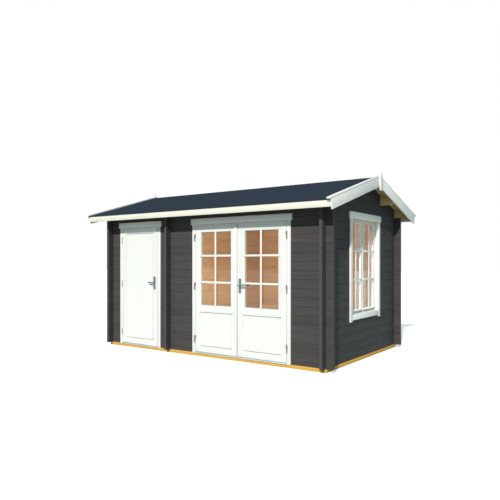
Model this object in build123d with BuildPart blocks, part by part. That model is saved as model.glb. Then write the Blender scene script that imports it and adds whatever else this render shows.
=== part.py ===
"""Garden log cabin with a store room, built from interlocking logs under a saddle roof.

The frame has +Z up and +X along the front wall. The origin lies under the middle
of the cabin, on the ground that the foundation beams rest on. The front faces -Y.
"""

import os
from math import cos, radians, sin, tan

from build123d import *

# Logs and the room
log_height = 114.0
log_thickness = 42.0
log_bevel = 4.5
log_end = 98.0
house_length = 3900.0
house_depth = 2405.0
wall_logs = 18
gable_logs = 4
partition_x = -649.0
notch_clearance = 0.25

# Foundation and floor
beam_height = 45.0
beam_width = 70.0
beam_proud = 10.0
beam_joint_x = 725.0
beam_gap = 0.5
bearer_places = (-1280.0, partition_x, 0.0, 640.0, 1270.0)
floor_thickness = 18.0
floor_clearance = 1.0

# Roof
roof_pitch = radians(16.25)
roof_slope_length = 1559.0
gable_overhang = 202.0
roof_board_thickness = 16.0
covering_thickness = 5.0
covering_lip_thickness = 4.0
covering_lip_drop = 13.0
fascia_thickness = 18.0
fascia_height = 95.0
bargeboard_thickness = 18.0
bargeboard_height = 132.0
cap_width = 45.0
cap_thickness = 20.0
cap_proud = 3.0
cap_end = 36.0
seat_gap = 0.3

# Purlins
purlin_thickness = 42.0
purlin_height = 140.0
side_purlin_y = 593.5
side_purlin_bottom = 2193.0
purlin_end_bevel = 38.0

# Finial at each end of the ridge
finial_thickness = 20.0
finial_tip = 2624.0
finial_shoulder = 2505.0
finial_bottom = 2333.0
finial_half_width = 55.0
finial_foot_half_width = 26.0

# Doors
single_door_x = -1274.5
double_door_x = 637.5
single_leaf_half = 387.0
double_leaf_half = 763.0
leaf_bottom = 65.0
leaf_top = 1878.0
leaf_thickness = 40.0
leaf_gap = 5.0
free_edge_gap = 7.0
meeting_gap = 8.0
meeting_shift = 13.5
jamb_thickness = 29.5
stop_reach = 15.0
trim_thickness = 18.0
door_trim_width = 54.0
head_trim_thickness = 24.0
head_trim_height = 86.0
head_trim_ear = 24.0
threshold_height = 14.0
threshold_nose = 10.0
groove_inset = 80.0
groove_width = 16.0
groove_depth = 12.0
door_glass_width = 533.0
door_glass_low = 735.0
door_glass_high = 1773.0
glass_thickness = 4.0
glass_setback = 17.0
glass_bite = 8.0
low_panel_top = 637.0
strip_width = 36.0
strip_thickness = 12.0

# Hinges
hinge_height = 100.0
hinge_places = (246.0, 1004.0, 1698.0)
barrel_radius = 7.5
hinge_out = 9.0
pin_radius = 4.0
pin_clearance = 0.1
pin_rise = 36.0
wing_width = 8.0
wing_thickness = 6.0

# Lock plates and levers
spindle_height = 1035.0
plate_width = 38.0
plate_height = 200.0
plate_thickness = 8.0
plate_drop = 9.0
single_backset = 56.0
double_backset = 41.0
spindle_radius = 4.5
spindle_hole_radius = 10.0
neck_radius = 9.0
neck_reach = 42.0
lever_length = 112.0
lever_height = 19.0
lever_thickness = 13.0

# Window in the right gable wall
window_clear_half = 452.5
window_low = 5
window_high = 17
window_jamb = 37.5
window_sill_board = 27.0
window_head_board = 48.0
window_trim_width = 70.0
window_trim_tail = 23.0
window_frame_depth = 76.0
window_head_height = 88.0
sash_front = 42.0
sash_thickness = 30.0
sash_stile = 48.0
sash_bottom_rail = 60.0
sash_gap = 0.3

# Places worked out from the sizes above
half_length = house_length / 2
half_depth = house_depth / 2
wall_base = beam_height
wall_top = wall_base + log_height * (wall_logs + 0.5)
underside_ridge = wall_top + half_depth * tan(roof_pitch)
eave_end = half_length + gable_overhang
crossing_reach = log_height / 4
door_head = wall_base + log_height * (wall_logs - 1.5)
front_face = -half_depth
door_face = front_face - trim_thickness
leaf_back = door_face + leaf_thickness
inner_face = half_depth - log_thickness
partition_faces = (partition_x - log_thickness / 2, partition_x + log_thickness / 2)
gable_faces = (half_length - log_thickness, half_length)
window_sill = wall_base + log_height * window_low
window_lintel = wall_base + log_height * window_high
window_half = window_clear_half + window_jamb
window_clear_low = window_sill + window_sill_board
window_clear_high = window_lintel - window_head_board
plate_middle = spindle_height - plate_drop
covering_top = roof_board_thickness + covering_thickness

os.makedirs("parts", exist_ok=True)


def keep(name, builder):
    """Label a finished piece and write it to its own file."""
    builder.part.label = name
    export_step(builder.part, f"parts/{name}.step")


def roof_point(along, above):
    """Place a point by its distance down the slope and its height square to the slope."""
    y = along * cos(roof_pitch) + above * sin(roof_pitch)
    z = underside_ridge - along * sin(roof_pitch) + above * cos(roof_pitch)
    return y, z


def ridge_point(above, y=0.0):
    """Place a point at a plumb cut near the ridge, at a height square to the slope."""
    along = (y - above * sin(roof_pitch)) / cos(roof_pitch)
    return roof_point(along, above)


def turned(points, side):
    """Give the points for the rear slope (side 1) or the front slope (side -1)."""
    return [(side * y, z) for y, z in points]


def range_steps(first, last):
    """Count log heights from a first joint to a last one."""
    count = int(round(last - first)) + 1
    return [first + step for step in range(count)]


def joint_levels(first, last, low, high):
    """List the log joints from one height to another, ends included."""
    inner = [wall_base + log_height * step for step in range_steps(first, last)]
    return [low] + [z for z in inner if low < z < high] + [high]


def long_levels(low, high):
    """Joints of the front and rear walls, which begin with half a log."""
    return joint_levels(0.5, wall_logs + 0.5, low, high)


def cross_levels(low, high):
    """Joints of the gable walls and the partition, which begin with a whole log."""
    return joint_levels(0, wall_logs + gable_logs, low, high)


def log_outline(near, far, levels):
    """Outline of stacked logs between two faces, with a bevel at each joint."""
    side = [(log_bevel, levels[0])]
    for low, high in zip(levels, levels[1:]):
        side += [(0, low + log_bevel), (0, high - log_bevel), (log_bevel, high)]
    left = [(near + inset, z) for inset, z in side]
    right = [(far - inset, z) for inset, z in reversed(side)]
    return left + right


def run_outline(points, plane, length, mode):
    """Make a face of a closed outline and run it square to its plane."""
    with BuildSketch(plane) as section:
        with BuildLine():
            Polyline(*points, close=True)
        make_face()
    extrude(section.sketch, amount=length, mode=mode)


def run_along_x(points, x_low, x_high, mode=Mode.ADD):
    """Run a YZ outline from one x to another."""
    run_outline(points, Plane.YZ.offset(x_low), x_high - x_low, mode)


def run_along_y(points, y_low, y_high, mode=Mode.ADD):
    """Run an XZ outline from one y to another."""
    run_outline(points, Plane.XZ.offset(-y_high), y_high - y_low, mode)


def block(x, y, z, mode=Mode.ADD):
    """Make a block between pairs of x, y and z."""
    middle = ((x[0] + x[1]) / 2, (y[0] + y[1]) / 2, (z[0] + z[1]) / 2)
    with Locations(middle):
        Box(abs(x[1] - x[0]), abs(y[1] - y[0]), abs(z[1] - z[0]), mode=mode)


def cut_above_roof(x_low, x_high):
    """Take away what reaches past the underside of the roof boards."""
    top = underside_ridge + log_height
    reach = half_depth + gable_overhang
    low = underside_ridge - reach * tan(roof_pitch)
    outline = [(0, underside_ridge), (reach, low), (reach, top), (-reach, top), (-reach, low)]
    run_along_x(outline, x_low, x_high, mode=Mode.SUBTRACT)


def cut_crossings(columns, first, low, high, along_x):
    """Notch a wall where other walls cross it, a quarter log from above and below.

    The notches stand at whole log heights from first, where the other wall's log lies.
    """
    size = log_thickness + 2 * notch_clearance
    heights = [wall_base + log_height * step for step in range_steps(first, first + wall_logs)]
    wanted = [z for z in heights if low - crossing_reach < z < high + crossing_reach]
    for x, y in columns:
        places = [(x, y, z) for z in wanted]
        with Locations(*places):
            if along_x:
                Box(size, 2 * log_thickness, 2 * crossing_reach, mode=Mode.SUBTRACT)
            else:
                Box(2 * log_thickness, size, 2 * crossing_reach, mode=Mode.SUBTRACT)


def cut_purlin_slots(x_low, x_high):
    """Open the slots that the ridge and side purlins lie in."""
    half = purlin_thickness / 2 + notch_clearance
    top = underside_ridge + log_height
    for y in (-side_purlin_y, side_purlin_y):
        block((x_low, x_high), (y - half, y + half), (side_purlin_bottom, top), Mode.SUBTRACT)
    ridge_low = underside_ridge - purlin_height
    block((x_low, x_high), (-half, half), (ridge_low, top), Mode.SUBTRACT)


# Middle of each wall's thickness, where the walls cross
front_line = front_face + log_thickness / 2
rear_line = -front_line
left_line = -half_length + log_thickness / 2
right_line = -left_line
log_reach_x = half_length + log_end
log_reach_y = half_depth + log_end


def long_wall(name, side, x, z, columns):
    """One stretch of the front (side -1) or rear (side 1) wall, notched at its crossings."""
    outer = side * half_depth
    inner = side * inner_face
    near, far = sorted((outer, inner))
    line = (outer + inner) / 2
    with BuildPart() as wall:
        run_along_x(log_outline(near, far, long_levels(*z)), x[0], x[1])
        cut_crossings([(place, line) for place in columns], 0.5, z[0], z[1], True)
    keep(name, wall)


def top_logs(name, side):
    """The two full-length logs over the doors, the upper one carried out under the eave boards."""
    near, far = sorted((side * half_depth, side * inner_face))
    line = (near + far) / 2
    upper_joint = door_head + log_height
    blank_top = wall_top + log_thickness
    with BuildPart() as logs:
        run_along_x(log_outline(near, far, [door_head, upper_joint]), -log_reach_x, log_reach_x)
        run_along_x(log_outline(near, far, [upper_joint, blank_top]), -eave_end, eave_end)
        columns = [(place, line) for place in (left_line, partition_x, right_line)]
        cut_crossings(columns, 0.5, door_head, wall_top, True)
        cut_above_roof(-eave_end, eave_end)
    keep(name, logs)


def cross_wall(name, faces, y, z, notch_lines):
    """One stretch of a gable wall or the partition, cut to the roof and its purlins."""
    middle = (faces[0] + faces[1]) / 2
    with BuildPart() as wall:
        run_along_y(log_outline(faces[0], faces[1], cross_levels(*z)), y[0], y[1])
        cut_crossings([(middle, line) for line in notch_lines], 0, z[0], z[1], False)
        if z[1] > side_purlin_bottom:
            cut_above_roof(faces[0] - log_bevel, faces[1] + log_bevel)
            cut_purlin_slots(faces[0] - log_bevel, faces[1] + log_bevel)
    keep(name, wall)


# Foundation beams under the walls, with bearers under the floor
beam_x = half_length + beam_proud
beam_y = half_depth + beam_proud
beam_inner_y = beam_y - beam_width
with BuildPart() as beams:
    for side in (-1, 1):
        across = sorted((side * beam_y, side * beam_inner_y))
        block((-beam_x, beam_joint_x - beam_gap), across, (0, beam_height))
        block((beam_joint_x + beam_gap, beam_x), across, (0, beam_height))
        between = (-beam_inner_y + beam_gap, beam_inner_y - beam_gap)
        block(sorted((side * beam_x, side * (beam_x - beam_width))), between, (0, beam_height))
    for place in bearer_places:
        between = (-beam_inner_y + beam_gap, beam_inner_y - beam_gap)
        block((place - beam_width / 2, place + beam_width / 2), between, (0, beam_height))
keep("foundation_beams", beams)

with BuildPart() as floor:
    rooms = (
        (partition_faces[1], half_length - log_thickness),
        (-half_length + log_thickness, partition_faces[0]),
    )
    for low, high in rooms:
        block(
            (low + floor_clearance, high - floor_clearance),
            (-inner_face + floor_clearance, inner_face - floor_clearance),
            (beam_height, beam_height + floor_thickness),
        )
keep("floor_boards", floor)

# Front and rear walls
single_hole = single_leaf_half + leaf_gap + jamb_thickness
double_hole = double_leaf_half + leaf_gap + jamb_thickness
jamb_logs = (wall_base, door_head)
long_wall("front_wall_left", -1, (-log_reach_x, single_door_x - single_hole), jamb_logs, [left_line])
long_wall(
    "front_wall_middle",
    -1,
    (single_door_x + single_hole, double_door_x - double_hole),
    jamb_logs,
    [partition_x],
)
long_wall("front_wall_right", -1, (double_door_x + double_hole, log_reach_x), jamb_logs, [right_line])
crossings = [left_line, partition_x, right_line]
long_wall("rear_wall", 1, (-log_reach_x, log_reach_x), jamb_logs, crossings)
top_logs("front_top_logs", -1)
top_logs("rear_top_logs", 1)

# Gable walls and the partition
whole_wall = (wall_base, underside_ridge + log_height)
whole_depth = (-log_reach_y, log_reach_y)
both_lines = [front_line, rear_line]
left_faces = (-gable_faces[1], -gable_faces[0])
cross_wall("left_gable_wall", left_faces, whole_depth, whole_wall, both_lines)
cross_wall("partition_wall", partition_faces, whole_depth, whole_wall, both_lines)
cross_wall("right_wall_lower", gable_faces, whole_depth, (wall_base, window_sill), both_lines)
beside_window = (window_sill, window_lintel)
front_part = (-log_reach_y, -window_half)
rear_part = (window_half, log_reach_y)
cross_wall("right_wall_front_part", gable_faces, front_part, beside_window, [front_line])
cross_wall("right_wall_rear_part", gable_faces, rear_part, beside_window, [rear_line])
cross_wall("right_gable", gable_faces, whole_depth, (window_lintel, whole_wall[1]), both_lines)


def purlin(y, bottom):
    """One purlin, its top planed to the roof and its ends bevelled behind the bargeboards."""
    half = purlin_thickness / 2
    outline = [
        (-eave_end, bottom + purlin_end_bevel),
        (-eave_end + purlin_end_bevel, bottom),
        (eave_end - purlin_end_bevel, bottom),
        (eave_end, bottom + purlin_end_bevel),
        (eave_end, underside_ridge),
        (-eave_end, underside_ridge),
    ]
    run_along_y(outline, y - half, y + half)
    cut_above_roof(-eave_end, eave_end)


with BuildPart() as ridge:
    purlin(0.0, underside_ridge - purlin_height)
keep("ridge_purlin", ridge)

with BuildPart() as side_purlins:
    for side in (-1, 1):
        purlin(side * side_purlin_y, side_purlin_bottom)
keep("side_purlins", side_purlins)

# Roof boards and the covering that folds down over the fascias
for name, side in (("front_roof_boards", -1), ("rear_roof_boards", 1)):
    with BuildPart() as boards:
        board_end = roof_slope_length - fascia_thickness
        outline = [
            ridge_point(0),
            roof_point(board_end, 0),
            roof_point(board_end, roof_board_thickness),
            ridge_point(roof_board_thickness),
        ]
        run_along_x(turned(outline, side), -eave_end, eave_end)
    keep(name, boards)

with BuildPart() as covering:
    lip_end = roof_slope_length + covering_lip_thickness
    lip_low = roof_board_thickness - covering_lip_drop
    outline = [
        ridge_point(covering_top),
        roof_point(lip_end, covering_top),
        roof_point(lip_end, lip_low),
        roof_point(roof_slope_length, lip_low),
        roof_point(roof_slope_length, roof_board_thickness),
        ridge_point(roof_board_thickness),
    ]
    front_slope = turned(reversed(outline[1:-1]), -1)
    run_along_x(outline + front_slope, -eave_end, eave_end)
keep("roof_covering", covering)

with BuildPart() as fascias:
    for side in (-1, 1):
        outline = [
            roof_point(roof_slope_length - fascia_thickness, roof_board_thickness),
            roof_point(roof_slope_length, roof_board_thickness),
            roof_point(roof_slope_length, roof_board_thickness - fascia_height),
            roof_point(roof_slope_length - fascia_thickness, roof_board_thickness - fascia_height),
        ]
        run_along_x(turned(outline, side), -eave_end, eave_end)
keep("fascias", fascias)

# Bargeboards and cap strips of both gables
with BuildPart() as bargeboards:
    for end in (-1, 1):
        inner, outer = sorted((end * eave_end, end * (eave_end + bargeboard_thickness)))
        low = covering_top - bargeboard_height
        outline = [
            ridge_point(covering_top, seat_gap),
            roof_point(roof_slope_length, covering_top),
            roof_point(roof_slope_length, low),
            ridge_point(low, seat_gap),
        ]
        for side in (-1, 1):
            run_along_x(turned(outline, side), inner, outer)
keep("bargeboards", bargeboards)

with BuildPart() as caps:
    for end in (-1, 1):
        outer = eave_end + bargeboard_thickness + cap_proud
        low_x, high_x = sorted((end * outer, end * (outer - cap_width)))
        for side in (-1, 1):
            cap_reach = roof_slope_length + cap_end
            outline = [
                ridge_point(covering_top, seat_gap),
                roof_point(cap_reach, covering_top),
                roof_point(cap_reach, covering_top + cap_thickness),
                ridge_point(covering_top + cap_thickness, seat_gap),
            ]
            run_along_x(turned(outline, side), low_x, high_x)
keep("cap_strips", caps)

with BuildPart() as finials:
    for end in (-1, 1):
        near = eave_end + bargeboard_thickness + cap_proud
        start = min(end * near, end * (near + finial_thickness))
        with BuildSketch(Plane.YZ.offset(start)):
            with BuildLine():
                tip = (0, finial_tip)
                left = (-finial_half_width, finial_shoulder)
                right = (finial_half_width, finial_shoulder)
                bend_x = finial_half_width * 0.48
                bend_z = finial_shoulder + (finial_tip - finial_shoulder) * 0.45
                left_bend = (-bend_x, bend_z)
                right_bend = (bend_x, bend_z)
                ThreePointArc(tip, right_bend, right)
                Line(right, (finial_foot_half_width, finial_bottom))
                Line((finial_foot_half_width, finial_bottom), (-finial_foot_half_width, finial_bottom))
                Line((-finial_foot_half_width, finial_bottom), left)
                ThreePointArc(left, left_bend, tip)
            make_face()
        extrude(amount=finial_thickness)
keep("finials", finials)


# Door frames: two jambs and a head, each with the stop that the leaf closes against
def door_frame(name, middle, leaf_half):
    """Frame in its opening, with the jambs and head as three pieces."""
    clear = leaf_half + leaf_gap
    hole = clear + jamb_thickness
    stop_front = leaf_back + leaf_gap
    back = front_face + log_thickness
    clear_top = leaf_top + leaf_gap
    with BuildPart() as frame:
        for end in (-1, 1):
            x_low, x_high = sorted((middle + end * clear, middle + end * hole))
            block((x_low, x_high), (front_face, back), (wall_base, door_head))
            stop = sorted((middle + end * clear, middle + end * (clear - stop_reach)))
            block(stop, (stop_front, back), (wall_base + threshold_height + seat_gap, clear_top))
        head = (middle - clear + seat_gap, middle + clear - seat_gap)
        block(head, (front_face, back), (clear_top + seat_gap, door_head))
        low_stop = (middle - clear + stop_reach + seat_gap, middle + clear - stop_reach - seat_gap)
        block(low_stop, (stop_front, back), (clear_top - stop_reach, clear_top + seat_gap))
    keep(name, frame)


door_frame("single_door_frame", single_door_x, single_leaf_half)
door_frame("double_door_frame", double_door_x, double_leaf_half)

# Side and head trims of the doors, on both faces of the wall
doorways = ((single_door_x, single_leaf_half), (double_door_x, double_leaf_half))
trim_top = leaf_top + leaf_gap
with BuildPart() as trims:
    for middle, leaf_half in doorways:
        clear = leaf_half + leaf_gap
        outer = clear + door_trim_width
        reach = outer + head_trim_ear
        for face, out in ((front_face, -1), (-inner_face, 1)):
            side = sorted((face, face + out * trim_thickness))
            top = sorted((face, face + out * head_trim_thickness))
            foot = wall_base if out < 0 else beam_height + floor_thickness
            for end in (-1, 1):
                across = sorted((middle + end * clear, middle + end * outer))
                block(across, side, (foot, trim_top - seat_gap))
            block((middle - reach, middle + reach), top, (trim_top, trim_top + head_trim_height))
keep("door_trims", trims)

with BuildPart() as thresholds:
    for middle, leaf_half in doorways:
        clear = leaf_half + leaf_gap - seat_gap
        nose = door_face - threshold_nose
        back = front_face + log_thickness
        across = (middle - clear, middle + clear)
        block(across, (nose, back), (wall_base, wall_base + threshold_height))
keep("door_thresholds", thresholds)


# Door leaves
def groove(x_low, x_high, z_low, z_high):
    """Cut the moulded groove that sets off a panel, on the front of a leaf."""
    width = x_high - x_low
    height = z_high - z_low
    middle = ((x_low + x_high) / 2, (z_low + z_high) / 2)
    with BuildSketch(Plane.XZ.offset(-door_face)) as ring:
        with Locations(middle):
            Rectangle(width, height)
            Rectangle(width - 2 * groove_width, height - 2 * groove_width, mode=Mode.SUBTRACT)
    extrude(ring.sketch, amount=-groove_depth, mode=Mode.SUBTRACT)


def glazed_opening(x_low, x_high):
    """Cut a leaf's glazed opening and the groove that holds its pane."""
    pane_y = door_face + glass_setback
    z = (door_glass_low, door_glass_high)
    block((x_low, x_high), (door_face - 1, leaf_back + 1), z, Mode.SUBTRACT)
    bite = glass_bite + seat_gap
    slot = glass_thickness / 2 + seat_gap
    block(
        (x_low - bite, x_high + bite),
        (pane_y - slot, pane_y + slot),
        (z[0] - bite, z[1] + bite),
        Mode.SUBTRACT,
    )


def spindle_hole(x):
    """Bore the hole that the lever's spindle runs through."""
    with Locations(Location((x, (door_face + leaf_back) / 2, spindle_height), (90, 0, 0))):
        Cylinder(spindle_hole_radius, leaf_thickness + 2, mode=Mode.SUBTRACT)


single_hinge_edge = single_door_x - single_leaf_half
single_free_edge = single_door_x + single_leaf_half + leaf_gap - free_edge_gap
single_spindle_x = single_free_edge - single_backset
with BuildPart() as single_leaf:
    block((single_hinge_edge, single_free_edge), (door_face, leaf_back), (leaf_bottom, leaf_top))
    groove(
        single_hinge_edge + groove_inset,
        single_free_edge - groove_inset,
        leaf_bottom + groove_inset,
        leaf_top - groove_inset,
    )
    spindle_hole(single_spindle_x)
keep("single_door_leaf", single_leaf)

pair_left = double_door_x - double_leaf_half
pair_right = double_door_x + double_leaf_half
meeting_x = double_door_x - meeting_shift
left_free_edge = meeting_x - meeting_gap / 2
right_free_edge = meeting_x + meeting_gap / 2
double_spindle_x = right_free_edge + double_backset


def glazed_leaf(name, x_low, x_high, spindle_x=None):
    """One leaf of the double door, with its glazed opening over a low panel."""
    glass_low = (x_low + x_high - door_glass_width) / 2
    with BuildPart() as leaf:
        block((x_low, x_high), (door_face, leaf_back), (leaf_bottom, leaf_top))
        glazed_opening(glass_low, glass_low + door_glass_width)
        groove(x_low + groove_inset, x_high - groove_inset, leaf_bottom + groove_inset, low_panel_top)
        if spindle_x is not None:
            spindle_hole(spindle_x)
    keep(name, leaf)


def leaf_glass(name, x_low, x_high):
    """The pane of one leaf, held in the leaf's groove."""
    glass_low = (x_low + x_high - door_glass_width) / 2
    pane_y = door_face + glass_setback
    with BuildPart() as pane:
        block(
            (glass_low - glass_bite, glass_low + door_glass_width + glass_bite),
            (pane_y - glass_thickness / 2, pane_y + glass_thickness / 2),
            (door_glass_low - glass_bite, door_glass_high + glass_bite),
        )
    keep(name, pane)


glazed_leaf("left_door_leaf", pair_left, left_free_edge)
glazed_leaf("right_door_leaf", right_free_edge, pair_right, double_spindle_x)
leaf_glass("left_door_glass", pair_left, left_free_edge)
leaf_glass("right_door_glass", right_free_edge, pair_right)

with BuildPart() as strip:
    block(
        (left_free_edge - strip_width, left_free_edge),
        (door_face - strip_thickness, door_face),
        (leaf_bottom, leaf_top),
    )
keep("meeting_strip", strip)


# Hinges: the lower half with its pin on the frame, the upper half on the leaf
def hinge_half(x, z_low, z_high, wing, carries_pin):
    """Barrel with the wing that screws to the wood, and a pin or the bore for it."""
    y = door_face - hinge_out
    height = z_high - z_low
    with Locations((x, y, (z_low + z_high) / 2)):
        Cylinder(barrel_radius, height)
    block(sorted(wing), (door_face - wing_thickness, door_face), (z_low, z_high))
    if carries_pin:
        with Locations((x, y, z_high + pin_rise / 2)):
            Cylinder(pin_radius, pin_rise)
    else:
        depth = pin_rise + 1
        with Locations((x, y, z_low + depth / 2)):
            Cylinder(pin_radius + pin_clearance, depth, mode=Mode.SUBTRACT)


def hinge_axis(edge, end):
    """The hinge line stands outside the leaf's edge, on the trim."""
    return edge + end * hinge_out


def frame_wing(edge, end):
    """Where the frame's wing lies on the trim."""
    return edge + end * leaf_gap, edge + end * (leaf_gap + wing_width)


def leaf_wing(edge, end):
    """Where the leaf's wing lies on the leaf, reaching into the gap beside it."""
    return edge + end * leaf_gap / 2, edge - end * wing_width


hinge_edges = ((single_hinge_edge, -1), (pair_left, -1), (pair_right, 1))
with BuildPart() as frame_hinges:
    for edge, end in hinge_edges:
        for place in hinge_places:
            low = place - hinge_height / 2
            hinge_half(hinge_axis(edge, end), low, place, frame_wing(edge, end), True)
keep("frame_hinge_pins", frame_hinges)


def leaf_hinges(name, edge, end):
    """The three upper hinge halves of one leaf."""
    with BuildPart() as halves:
        for place in hinge_places:
            high = place + hinge_height / 2
            hinge_half(hinge_axis(edge, end), place + seat_gap, high, leaf_wing(edge, end), False)
    keep(name, halves)


leaf_hinges("single_leaf_hinges", single_hinge_edge, -1)
leaf_hinges("left_leaf_hinges", pair_left, -1)
leaf_hinges("right_leaf_hinges", pair_right, 1)


# Lock plates and lever handles
def lock_plates(name, x):
    """Plates on both faces of a leaf, bored for the spindle."""
    with BuildPart() as plates:
        for low in (door_face - plate_thickness, leaf_back):
            with BuildSketch(Plane.XZ.offset(-(low + plate_thickness))):
                with Locations((x, plate_middle)):
                    RectangleRounded(plate_width, plate_height, plate_width / 4)
                with Locations((x, spindle_height)):
                    Circle(spindle_radius + pin_clearance, mode=Mode.SUBTRACT)
            extrude(amount=plate_thickness)
    keep(name, plates)


def lever(name, x, turn):
    """Levers on both faces, joined by the spindle. They point to turn (-1 left, 1 right)."""
    outer = door_face - plate_thickness - seat_gap
    inner = leaf_back + plate_thickness + seat_gap
    across = Location((x, (outer + inner) / 2, spindle_height), (90, 0, 0))
    with BuildPart() as handle:
        with Locations(across):
            Cylinder(spindle_radius, inner - outer + 2)
        for face, out in ((outer, -1), (inner, 1)):
            middle = face + out * neck_reach / 2
            with Locations(Location((x, middle, spindle_height), (90, 0, 0))):
                Cylinder(neck_radius, neck_reach)
            grip = sorted((face + out * neck_reach, face + out * (neck_reach - lever_thickness)))
            with BuildSketch(Plane.XZ.offset(-grip[1])):
                with Locations((x + turn * (lever_length - lever_height) / 2, spindle_height)):
                    SlotOverall(lever_length, lever_height)
            extrude(amount=grip[1] - grip[0])
    keep(name, handle)


lock_plates("single_lock_plates", single_spindle_x)
lock_plates("double_lock_plates", double_spindle_x)
lever("single_door_lever", single_spindle_x, -1)
lever("double_door_lever", double_spindle_x, 1)

# Window: frame in the wall, two sashes, their panes and the trims
window_back = half_length - window_frame_depth
with BuildPart() as window_frame:
    block((window_back, half_length), (-window_half, window_half), (window_sill, window_lintel))
    block(
        (window_back - 1, half_length + 1),
        (-window_clear_half, window_clear_half),
        (window_clear_low, window_clear_high),
        Mode.SUBTRACT,
    )
keep("window_frame", window_frame)

sash_x = (half_length - sash_front - sash_thickness, half_length - sash_front)
sash_z = (window_clear_low + sash_gap, window_clear_high - sash_gap)
glass_z = (sash_z[0] + sash_bottom_rail, sash_z[1] - sash_stile)
pane_x = (sash_x[0] + sash_x[1]) / 2
pane_half = glass_thickness / 2
with BuildPart() as sashes:
    for side in (-1, 1):
        span = sorted((side * sash_gap, side * (window_clear_half - sash_gap)))
        light = (span[0] + sash_stile, span[1] - sash_stile)
        block(sash_x, span, sash_z)
        block((sash_x[0] - 1, sash_x[1] + 1), light, glass_z, Mode.SUBTRACT)
        bite = glass_bite + seat_gap
        block(
            (pane_x - pane_half - seat_gap, pane_x + pane_half + seat_gap),
            (light[0] - bite, light[1] + bite),
            (glass_z[0] - bite, glass_z[1] + bite),
            Mode.SUBTRACT,
        )
keep("window_sashes", sashes)

with BuildPart() as window_glass:
    for side in (-1, 1):
        span = sorted((side * sash_gap, side * (window_clear_half - sash_gap)))
        block(
            (pane_x - pane_half, pane_x + pane_half),
            (span[0] + sash_stile - glass_bite, span[1] - sash_stile + glass_bite),
            (glass_z[0] - glass_bite, glass_z[1] + glass_bite),
        )
keep("window_glass", window_glass)

# Outside the trims lap over the frame, and inside they stand around it
lapping = (window_clear_half, window_clear_low, window_clear_high)
around = (window_half, window_sill, window_lintel)
with BuildPart() as window_trims:
    for face, out, (half, low, high) in ((gable_faces[1], 1, lapping), (gable_faces[0], -1, around)):
        side_x = sorted((face, face + out * trim_thickness))
        head_x = sorted((face, face + out * head_trim_thickness))
        outer = half + window_trim_width
        for side in (-1, 1):
            across = sorted((side * (half + seat_gap), side * outer))
            tail = low - window_trim_width - window_trim_tail
            block(side_x, across, (tail, high - seat_gap))
        block(side_x, (-half, half), (low - window_trim_width, low - seat_gap))
        head_reach = outer + head_trim_ear
        block(head_x, (-head_reach, head_reach), (high, high + window_head_height))
keep("window_trims", window_trims)
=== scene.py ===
"""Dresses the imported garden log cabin: finishes for every node, and the joinery, boards and ironwork.

Everything is in metres in the frame of the part: +Z up, +X along the front wall, the front facing -Y.
"""

from __future__ import annotations

import logging
import math
from dataclasses import dataclass, field
from enum import Enum
from typing import Iterable, Sequence

import bmesh
import bpy
from mathutils import Matrix, Vector

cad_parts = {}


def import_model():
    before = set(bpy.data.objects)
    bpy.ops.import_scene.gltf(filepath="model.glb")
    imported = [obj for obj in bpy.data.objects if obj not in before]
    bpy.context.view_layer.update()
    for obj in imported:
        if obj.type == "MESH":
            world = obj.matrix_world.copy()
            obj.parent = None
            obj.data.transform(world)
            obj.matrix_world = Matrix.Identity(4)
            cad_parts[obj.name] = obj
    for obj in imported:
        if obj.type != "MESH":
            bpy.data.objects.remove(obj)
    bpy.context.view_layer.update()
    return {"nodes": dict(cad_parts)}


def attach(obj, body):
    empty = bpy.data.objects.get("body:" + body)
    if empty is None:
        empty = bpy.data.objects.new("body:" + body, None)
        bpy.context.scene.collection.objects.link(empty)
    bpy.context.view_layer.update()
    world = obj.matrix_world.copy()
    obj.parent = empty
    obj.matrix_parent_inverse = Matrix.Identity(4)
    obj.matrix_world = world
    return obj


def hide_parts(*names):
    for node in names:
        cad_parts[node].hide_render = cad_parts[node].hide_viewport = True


LOG = logging.getLogger("cabin")
MM = 0.001
# A place past the whole cabin, for a limit that nothing reaches
NOWHERE = 9.0
# The least angle between two faces at which their edge is rounded, and at which it is shaded sharp
ROUNDED_ANGLE = math.radians(35)
SHARP_ANGLE = math.radians(32)
# Triangles within this angle of each other are one flat face
FLAT_ANGLE = math.radians(0.5)
MERGE_DISTANCE = 0.01 * MM

Point = tuple[float, float, float]
Span = tuple[float, float]


class Axis(Enum):
    """The direction that a piece of wood was sawn along."""

    X = 0
    Y = 1
    Z = 2


class Body(Enum):
    """The moving bodies of the part."""

    CABIN = "cabin"
    SINGLE_LEAF = "single_leaf"
    SINGLE_LEVER = "single_lever"
    LEFT_LEAF = "left_leaf"
    RIGHT_LEAF = "right_leaf"
    DOUBLE_LEVER = "double_lever"


class Slot(Enum):
    """The material slots of the part."""

    LOGS = "stained_logs"
    WHITE = "white_joinery"
    SPRUCE = "bare_spruce"
    BEAMS = "treated_beams"
    ROOF = "roof_covering"
    GLASS = "pane_glass"
    STEEL = "galvanised_steel"


@dataclass(frozen=True)
class CabinSizes:
    """Sizes that several pieces share."""

    base: float = 0.045
    log_height: float = 0.114
    inner_y: float = 1.1605
    inner_x: float = 1.908
    eave_end: float = 2.152
    pitch: float = math.radians(16.25)
    underside_ridge: float = 2.50449
    slope_length: float = 1.559
    roof_board: float = 0.016
    fascia: float = 0.018
    floor_top: float = 0.063
    door_face: float = -1.2205
    pane_setback: float = 0.017
    pane: float = 0.004


SIZES = CabinSizes()


def linear(code: str) -> tuple[float, float, float, float]:
    """Turn an sRGB hex colour into the linear values that shaders take.

    Args:
        code: The colour as six hex digits, with a leading hash.

    Returns:
        Red, green, blue and an alpha of one.
    """
    parts = [int(code[place : place + 2], 16) / 255 for place in (1, 3, 5)]
    red, green, blue = (c / 12.92 if c <= 0.04045 else ((c + 0.055) / 1.055) ** 2.4 for c in parts)
    return red, green, blue, 1.0


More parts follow.
